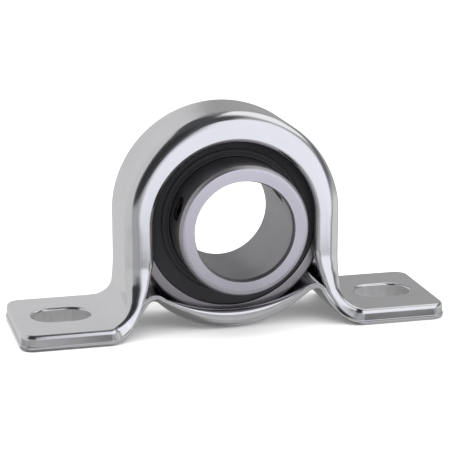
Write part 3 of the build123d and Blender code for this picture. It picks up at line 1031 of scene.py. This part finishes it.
def ground_steel(tree):
    """Bearing steel: ground faces, a rougher outside and a honed bore, both darkened by painted shade, with
    lines round the shaft.
    """
    colour = bpy.context.scene.pillow_finish.steel
    place, x, y, z = from_shaft(tree)
    radius = radial(tree, x, z)
    fine = noise(tree, joined(tree, radius, y, times(tree, z, 0.01)), 5200.0, 3.0, 0.6)
    cloud = noise(tree, place, 150.0, 4.0)
    worn = worn_edges(tree, 0.52, 0.6)
    # Mask of the outside. There the steel is rougher for its turned finish, and its colour is darkened as
    # painted shade.
    satin_and_shade = ramp(tree, radius, INNER_RADIUS - 0.65 * MM, INNER_RADIUS - 0.3 * MM)
    # Mask of the bore. There the colour is darkened as painted shade for the dark inside it, and the added
    # roughness is the honing.
    bore = ramp(tree, radius, BORE_RADIUS + 0.1 * MM, BORE_RADIUS + 0.3 * MM, 1.0, 0.0)
    rough = plus(tree, ramp(tree, fine, 0.3, 0.7, 0.24, 0.32), ramp(tree, cloud, 0.35, 0.65, -0.02, 0.04))
    rough = plus(tree, rough, times(tree, satin_and_shade, 0.16))
    plain = blend(tree, ramp(tree, cloud, 0.3, 0.7), darker(colour, 0.92), colour)
    plain = blend(tree, times(tree, worn, 0.4), plain, (0.75, 0.74, 0.76))
    # Painted shade: the outside's colour is pulled half way to a warm dark gray, standing in for the dark it
    # reflects between the housing's lip and the seal.
    plain = blend(tree, times(tree, satin_and_shade, 0.5), plain, (0.3, 0.28, 0.27))
    around = wire(tree, "ShaderNodeTangent", {"direction_type": "RADIAL", "axis": "Y"})
    return {
        # Painted shade: the bore's colour is pulled most of the way to a dark gray.
        "Base Color": blend(tree, times(tree, bore, 0.75), plain, (0.2, 0.195, 0.2)),
        "Roughness": plus(tree, rough, times(tree, bore, 0.08)),
        "Metallic": 1.0,
        "Anisotropic": 0.5,
        "Tangent": around.outputs["Tangent"],
        "Normal": bumped(tree, fine, 0.0006 * MM),
    }


def polished_steel(tree):
    """Lapped balls with a film of grease."""
    film = noise(tree, from_object(tree), 500.0, 4.0)
    return {
        "Base Color": blend(tree, film, (0.62, 0.6, 0.58), (0.72, 0.72, 0.73)),
        "Roughness": ramp(tree, film, 0.35, 0.65, 0.05, 0.14),
        "Metallic": 1.0,
        "Normal": bumped(tree, film, 0.001 * MM),
    }


def strip_steel(tree):
    """Cold-rolled strip: rolling lines and a dull cloud."""
    colour = bpy.context.scene.pillow_finish.cage
    place, x, y, z = from_shaft(tree)
    cloud = noise(tree, place, 400.0, 5.0)
    lines = noise(tree, joined(tree, times(tree, x, 0.03), y, z), 2400.0, 2.0)
    return {
        "Base Color": blend(tree, cloud, darker(colour, 0.8), colour),
        "Roughness": ramp(tree, lines, 0.3, 0.7, 0.28, 0.44),
        "Metallic": 1.0,
        "Normal": bumped(tree, lines, 0.001 * MM),
    }


# This finish is also put on the walls of the inner ring's tapped holes, as painted shade.
def black_oxide(tree):
    """Black oxide on alloy steel, rubbed to metal on its edges."""
    colour = bpy.context.scene.pillow_finish.black
    cloud = noise(tree, from_object(tree), 900.0, 5.0)
    skin = blend(tree, cloud, darker(colour, 0.6), colour)
    return {
        "Base Color": blend(tree, worn_edges(tree, 0.53, 0.62), skin, (0.3, 0.29, 0.28)),
        "Roughness": ramp(tree, cloud, 0.3, 0.7, 0.32, 0.5),
        "Metallic": 1.0,
        "Normal": bumped(tree, cloud, 0.003 * MM),
    }


def seal_rubber(tree):
    """Moulded nitrile rubber: a fine grain, a dusty bloom and shinier handled edges."""
    colour = bpy.context.scene.pillow_finish.rubber
    place = from_object(tree)
    grain = noise(tree, place, 3500.0, 3.0, 0.6)
    bloom = noise(tree, place, 220.0, 5.0)
    rough = ramp(tree, bloom, 0.3, 0.7, 0.42, 0.56)
    dusty = [channel + 0.005 for channel in colour]
    return {
        "Base Color": blend(tree, ramp(tree, bloom, 0.4, 0.7), colour, dusty),
        "Roughness": maths(tree, "SUBTRACT", rough, times(tree, worn_edges(tree, 0.52, 0.6), 0.08)),
        "Specular IOR Level": 0.25,
        "Normal": bumped(tree, grain, 0.004 * MM),
    }


# ---- stage --------------------------------------------------------------------------------


def white_world():
    """World that camera, glossy and transmitted rays see as white, and that lights the rest as strongly."""
    white, light = 1.0, 1.0
    world = bpy.data.worlds.new("studio")
    world.use_nodes = True
    bpy.context.scene.world = world
    tree = world.node_tree
    tree.nodes.clear()
    path = wire(tree, "ShaderNodeLightPath").outputs
    seen = maths(tree, "MAXIMUM", path["Is Camera Ray"], path["Is Glossy Ray"])
    seen = maths(tree, "MAXIMUM", seen, path["Is Transmission Ray"])
    strength = ramp(tree, seen, 0.0, 1.0, light, white)
    background = wire(tree, "ShaderNodeBackground", None, Strength=strength, Color=(1, 1, 1, 1))
    wire(tree, "ShaderNodeOutputWorld", None, Surface=background.outputs[0])


# The reflector tent, seen from the bearing. A direction's turn runs from the back through the
# right (90), the front (180) and the left (270), and its rise is above the horizon, in degrees.
# Each panel has corners in turn and rise, a brightness, the softness of its border in degrees and
# a colour. Later panels hang in front of earlier ones.
GRAY = (1.0, 1.0, 1.0)
COOL = (0.93, 0.94, 1.0)
TENT_PANELS = (
    ("surround", ((-10, -95), (370, -95), (370, 95), (-10, 95)), 0.42, 1, GRAY),
    ("table right", ((15, -90), (185, -90), (178, -42), (60, -46), (20, -66)), 0.40, 8, GRAY),
    ("table left", ((172, -95), (395, -95), (385, -42), (300, -45), (178, -38)), 0.18, 12, GRAY),
    ("table middle", ((-10, -95), (370, -95), (370, -74), (-10, -74)), 0.15, 16, GRAY),
    ("left skirt", ((190, -48), (356, -48), (356, -18), (186, -18)), 0.30, 5, GRAY),
    ("back skirt", ((350, -50), (400, -50), (400, -16), (366, -16), (352, -26)), 0.18, 5, GRAY),
    (
        "ceiling",
        ((189, -1), (249, 1), (262, 40), (300, 54), (352, 20), (368, 14), (378, 95), (150, 95), (150, 68)),
        0.08, 6, COOL,
    ),
    ("left flag", ((203, -2), (238, 1), (247, 62), (215, 70), (196, 40)), 0.04, 7, COOL),
    ("front roof", ((126, 72), (138, 58), (172, 54), (200, 50), (200, 95), (126, 95)), 0.08, 10, COOL),
    (
        "left wall",
        ((238, -17.5), (240, -4), (247, 3), (253, 12), (255, 32), (262, 44), (276, 53), (296, 57),
         (316, 53), (332, 46), (345, 38), (356, 29), (367, 22), (368.5, 19), (371, 17), (371, -26),
         (330, -26), (310, -18)),
        0.63, 3, GRAY,
    ),
    ("back strip", ((366, 24), (376, 22), (378, 60), (365, 70), (352, 40)), 0.22, 8, GRAY),
    (
        "back corner",
        ((371, -14), (395, -14), (395, 18), (375, 22), (367, 22), (368.5, 19), (371, 17)),
        0.37, 2, GRAY,
    ),
    (
        "window",
        ((17, 73), (17, 36), (40, 34), (62, 36), (78, 28), (90, 28), (106, 38), (115, 50), (112, 62),
         (96, 71), (70, 79), (40, 78)),
        1.0, 5, GRAY,
    ),
    (
        "right flag",
        ((42, 30), (60, 29), (78, 24), (92, 25), (112, 14), (126, 3), (137, -6), (136, -9), (126, -8),
         (112, 0), (92, 4), (78, 10), (60, 18), (42, 24)),
        0.15, 5, COOL,
    ),
    ("right wall", ((62, -17.5), (62, -4), (104, -3), (124, -8), (134, -17.5)), 0.70, 3, GRAY),
    ("right seam", ((126, -4), (137, -5), (134, -22), (123, -22)), 0.35, 3, GRAY),
    ("front table", ((110, -21), (186, -21), (192, -46), (110, -46)), 0.5, 4, GRAY),
    ("front low", ((138, -12), (192, -12), (196, -21.5), (138, -21.5)), 0.3, 3, GRAY),
    ("left table", ((186, -23), (236, -23), (236, -40), (192, -44)), 0.6, 4, GRAY),
    ("front side", ((160, 42), (184, 42), (187, -16.5), (160, -16.5)), 0.72, 7, COOL),
    (
        "front panel",
        ((128, -1), (120, 10), (118, 24), (128, 42), (150, 46), (178, 46), (176, -16.5), (138, -17),
         (138, -9)),
        1.05, 4, COOL,
    ),
    ("left foot", ((171.5, -17), (178.5, -17), (178.5, -25), (171.5, -25)), 0.04, 1.5, GRAY),
    ("right foot", ((140, -17.2), (160, -17.2), (160, -27), (140, -27)), 0.12, 1.5, GRAY),
)
TENT_RINGS = 144
TENT_SIDES = 288

# Each lamp's name, its place and size in metres, and its power in watts.
LAMPS = (
    ("key", (-0.15, -0.2, 0.9), (1.4, 1.4), 10),
    ("fill", (0.6, -0.5, 0.3), (0.8, 0.6), 5),
)
LAMP_AIM = Vector((0, 0, 0.03))
CAMERA_AIM = Vector((0.043 * MM, 0.0, 24.899 * MM))


def pointing(turn, rise):
    """Unit vector of a direction."""
    t, e = radians(turn), radians(rise)
    return Vector((cos(e) * sin(t), cos(e) * cos(t), sin(e)))


def inside_by(turn, rise, corners):
    """How far a direction lies inside a panel's outline, in degrees; less than 0 is outside."""
    nearest = 360.0
    crossings = 0
    for (turn_a, rise_a), (turn_b, rise_b) in zip(corners, corners[1:] + corners[:1]):
        along_turn, along_rise = turn_b - turn_a, rise_b - rise_a
        share = (turn - turn_a) * along_turn + (rise - rise_a) * along_rise
        share = clamp(share / (along_turn**2 + along_rise**2))
        nearest = min(nearest, hypot(turn_a + share * along_turn - turn, rise_a + share * along_rise - rise))
        if (rise_a > rise) != (rise_b > rise):
            crossings += turn < turn_a + along_turn * (rise - rise_a) / along_rise
    return nearest if crossings % 2 else -nearest


def panel_cover(turn, rise, corners, soft):
    """How much of a direction a panel covers, from 0 to 1."""
    turns, rises = zip(*corners)
    if not min(rises) - soft < rise < max(rises) + soft:
        return 0.0
    share = 0.0
    for place in (turn, turn + 360):
        if min(turns) - soft < place < max(turns) + soft:
            share = max(share, min(1.0, 0.5 + inside_by(place, rise, corners) / soft))
    return share * share * (3 - 2 * share)


def tent_colour(turn, rise):
    """Colour of the tent in one direction."""
    colour = (1.0, 1.0, 1.0)
    for _, corners, level, soft, shade in TENT_PANELS:
        share = panel_cover(turn, rise, corners, soft)
        colour = [old * (1 - share) + level * new * share for old, new in zip(colour, shade)]
    return (*colour, 1.0)


def reflector_tent(radius):
    """Tent of white, gray and black panels that only the gloss of the metal shows."""
    bm = bmesh.new()
    centre = Vector((0, 0, SHAFT_HEIGHT))
    rises = spread(-90, 90, TENT_RINGS)
    turns = spread(0, 360, TENT_SIDES)[:-1]
    rows = [add_loop(bm, [centre + radius * pointing(turn, rise) for turn in turns]) for rise in rises]
    for first, second in zip(rows, rows[1:]):
        bridge(bm, first, second, closed=True)
    tent = placed("reflector_tent", bm)
    panels = tent.data.color_attributes.new("panels", "FLOAT_COLOR", "POINT")
    for item, (rise, turn) in zip(panels.data, product(rises, turns)):
        item.color = tent_colour(turn, rise)
    tent.visible_camera = False
    tent.visible_diffuse = False
    tent.visible_transmission = False
    tent.visible_shadow = False
    material = bpy.data.materials.new("reflector_cloth")
    material.use_nodes = True
    material.cycles.emission_sampling = "NONE"
    tree = material.node_tree
    tree.nodes.clear()
    cloth = wire(tree, "ShaderNodeAttribute", {"attribute_name": "panels"})
    lit = wire(tree, "ShaderNodeEmission", None, Color=cloth.outputs["Color"])
    wire(tree, "ShaderNodeOutputMaterial", None, Surface=lit.outputs[0])
    tent.data.materials.append(material)


def area_light(name, place, size, power):
    """Soft rectangular lamp that points at the object and leaves the gloss to the tent."""
    lamp = bpy.data.lights.new(name, "AREA")
    lamp.shape = "RECTANGLE"
    lamp.size, lamp.size_y = size
    lamp.energy = power
    holder = bpy.data.objects.new(name, lamp)
    bpy.context.scene.collection.objects.link(holder)
    holder.location = place
    holder.rotation_euler = (LAMP_AIM - Vector(place)).to_track_quat("-Z", "Y").to_euler()
    holder.visible_glossy = False


def pale_floor(colour):
    """Plain matt floor that takes the object's shadow."""
    bm = bmesh.new()
    bmesh.ops.create_grid(bm, x_segments=1, y_segments=1, size=3.0)
    floor = placed("floor", bm)
    floor.visible_glossy = False
    material = bpy.data.materials.new("floor")
    material.use_nodes = True
    shader = material.node_tree.nodes["Principled BSDF"]
    shader.inputs["Base Color"].default_value = (*colour, 1)
    shader.inputs["Roughness"].default_value = 0.9
    floor.data.materials.append(material)


def studio_camera(studio):
    """Camera in front of the object, a little to its left and above it."""
    level = cos(studio.rise)
    back = Vector((-sin(studio.turn) * level, -cos(studio.turn) * level, sin(studio.rise)))
    camera = bpy.data.objects.new("camera", bpy.data.cameras.new("camera"))
    bpy.context.scene.collection.objects.link(camera)
    camera.data.sensor_width = 36
    camera.data.lens = studio.lens
    camera.location = CAMERA_AIM + back * studio.distance
    camera.rotation_euler = back.to_track_quat("Z", "Y").to_euler()
    bpy.context.scene.camera = camera


class BEARING_OT_stage(bpy.types.Operator):
    """Builds the floor, the lights, the reflector tent and the camera"""

    bl_idname = "bearing.stage"
    bl_label = "Stage"

    def execute(self, context):
        studio = context.scene.pillow_studio
        white_world()
        pale_floor(studio.floor)
        reflector_tent(studio.tent)
        for lamp in LAMPS:
            area_light(*lamp)
        studio_camera(studio)
        context.scene.view_settings.view_transform = "Standard"
        return {"FINISHED"}


class BEARING_PT_panel(bpy.types.Panel):
    """Lists the pieces and their sizes"""

    bl_idname = "BEARING_PT_panel"
    # Shows a button for building each piece
    bl_label = "Pillow block"
    bl_space_type = "VIEW_3D"
    bl_region_type = "UI"
    bl_category = "Pillow Block"

    def draw(self, context):
        for operator in OPERATORS:
            self.layout.operator(operator.bl_idname)


SETTINGS = {
    "pillow_housing": HousingSettings,
    "pillow_bearing": BearingSettings,
    "pillow_finish": FinishSettings,
    "pillow_studio": StudioSettings,
}
OPERATORS = (
    BEARING_OT_upper_housing,
    BEARING_OT_lower_housing,
    BEARING_OT_outer_ring,
    BEARING_OT_inner_ring,
    BEARING_OT_set_screws,
    BEARING_OT_seals,
    BEARING_OT_inner_parts,
    BEARING_OT_stage,
)


def register():
    """Registers the classes and their settings."""
    for name, group in SETTINGS.items():
        bpy.utils.register_class(group)
        setattr(bpy.types.Scene, name, bpy.props.PointerProperty(type=group))
    for operator in OPERATORS:
        bpy.utils.register_class(operator)
    bpy.utils.register_class(BEARING_PT_panel)


def unregister():
    """Removes the classes and their settings."""
    bpy.utils.unregister_class(BEARING_PT_panel)
    for operator in reversed(OPERATORS):
        bpy.utils.unregister_class(operator)
    for name, group in SETTINGS.items():
        delattr(bpy.types.Scene, name)
        bpy.utils.unregister_class(group)


def main():
    """Builds everything."""
    register()
    bpy.ops.bearing.upper_housing()
    bpy.ops.bearing.lower_housing()
    bpy.ops.bearing.outer_ring()
    bpy.ops.bearing.inner_ring()
    bpy.ops.bearing.set_screws()
    bpy.ops.bearing.seals()
    bpy.ops.bearing.inner_parts()
    bpy.ops.bearing.stage()


if __name__ == "__main__":
    main()
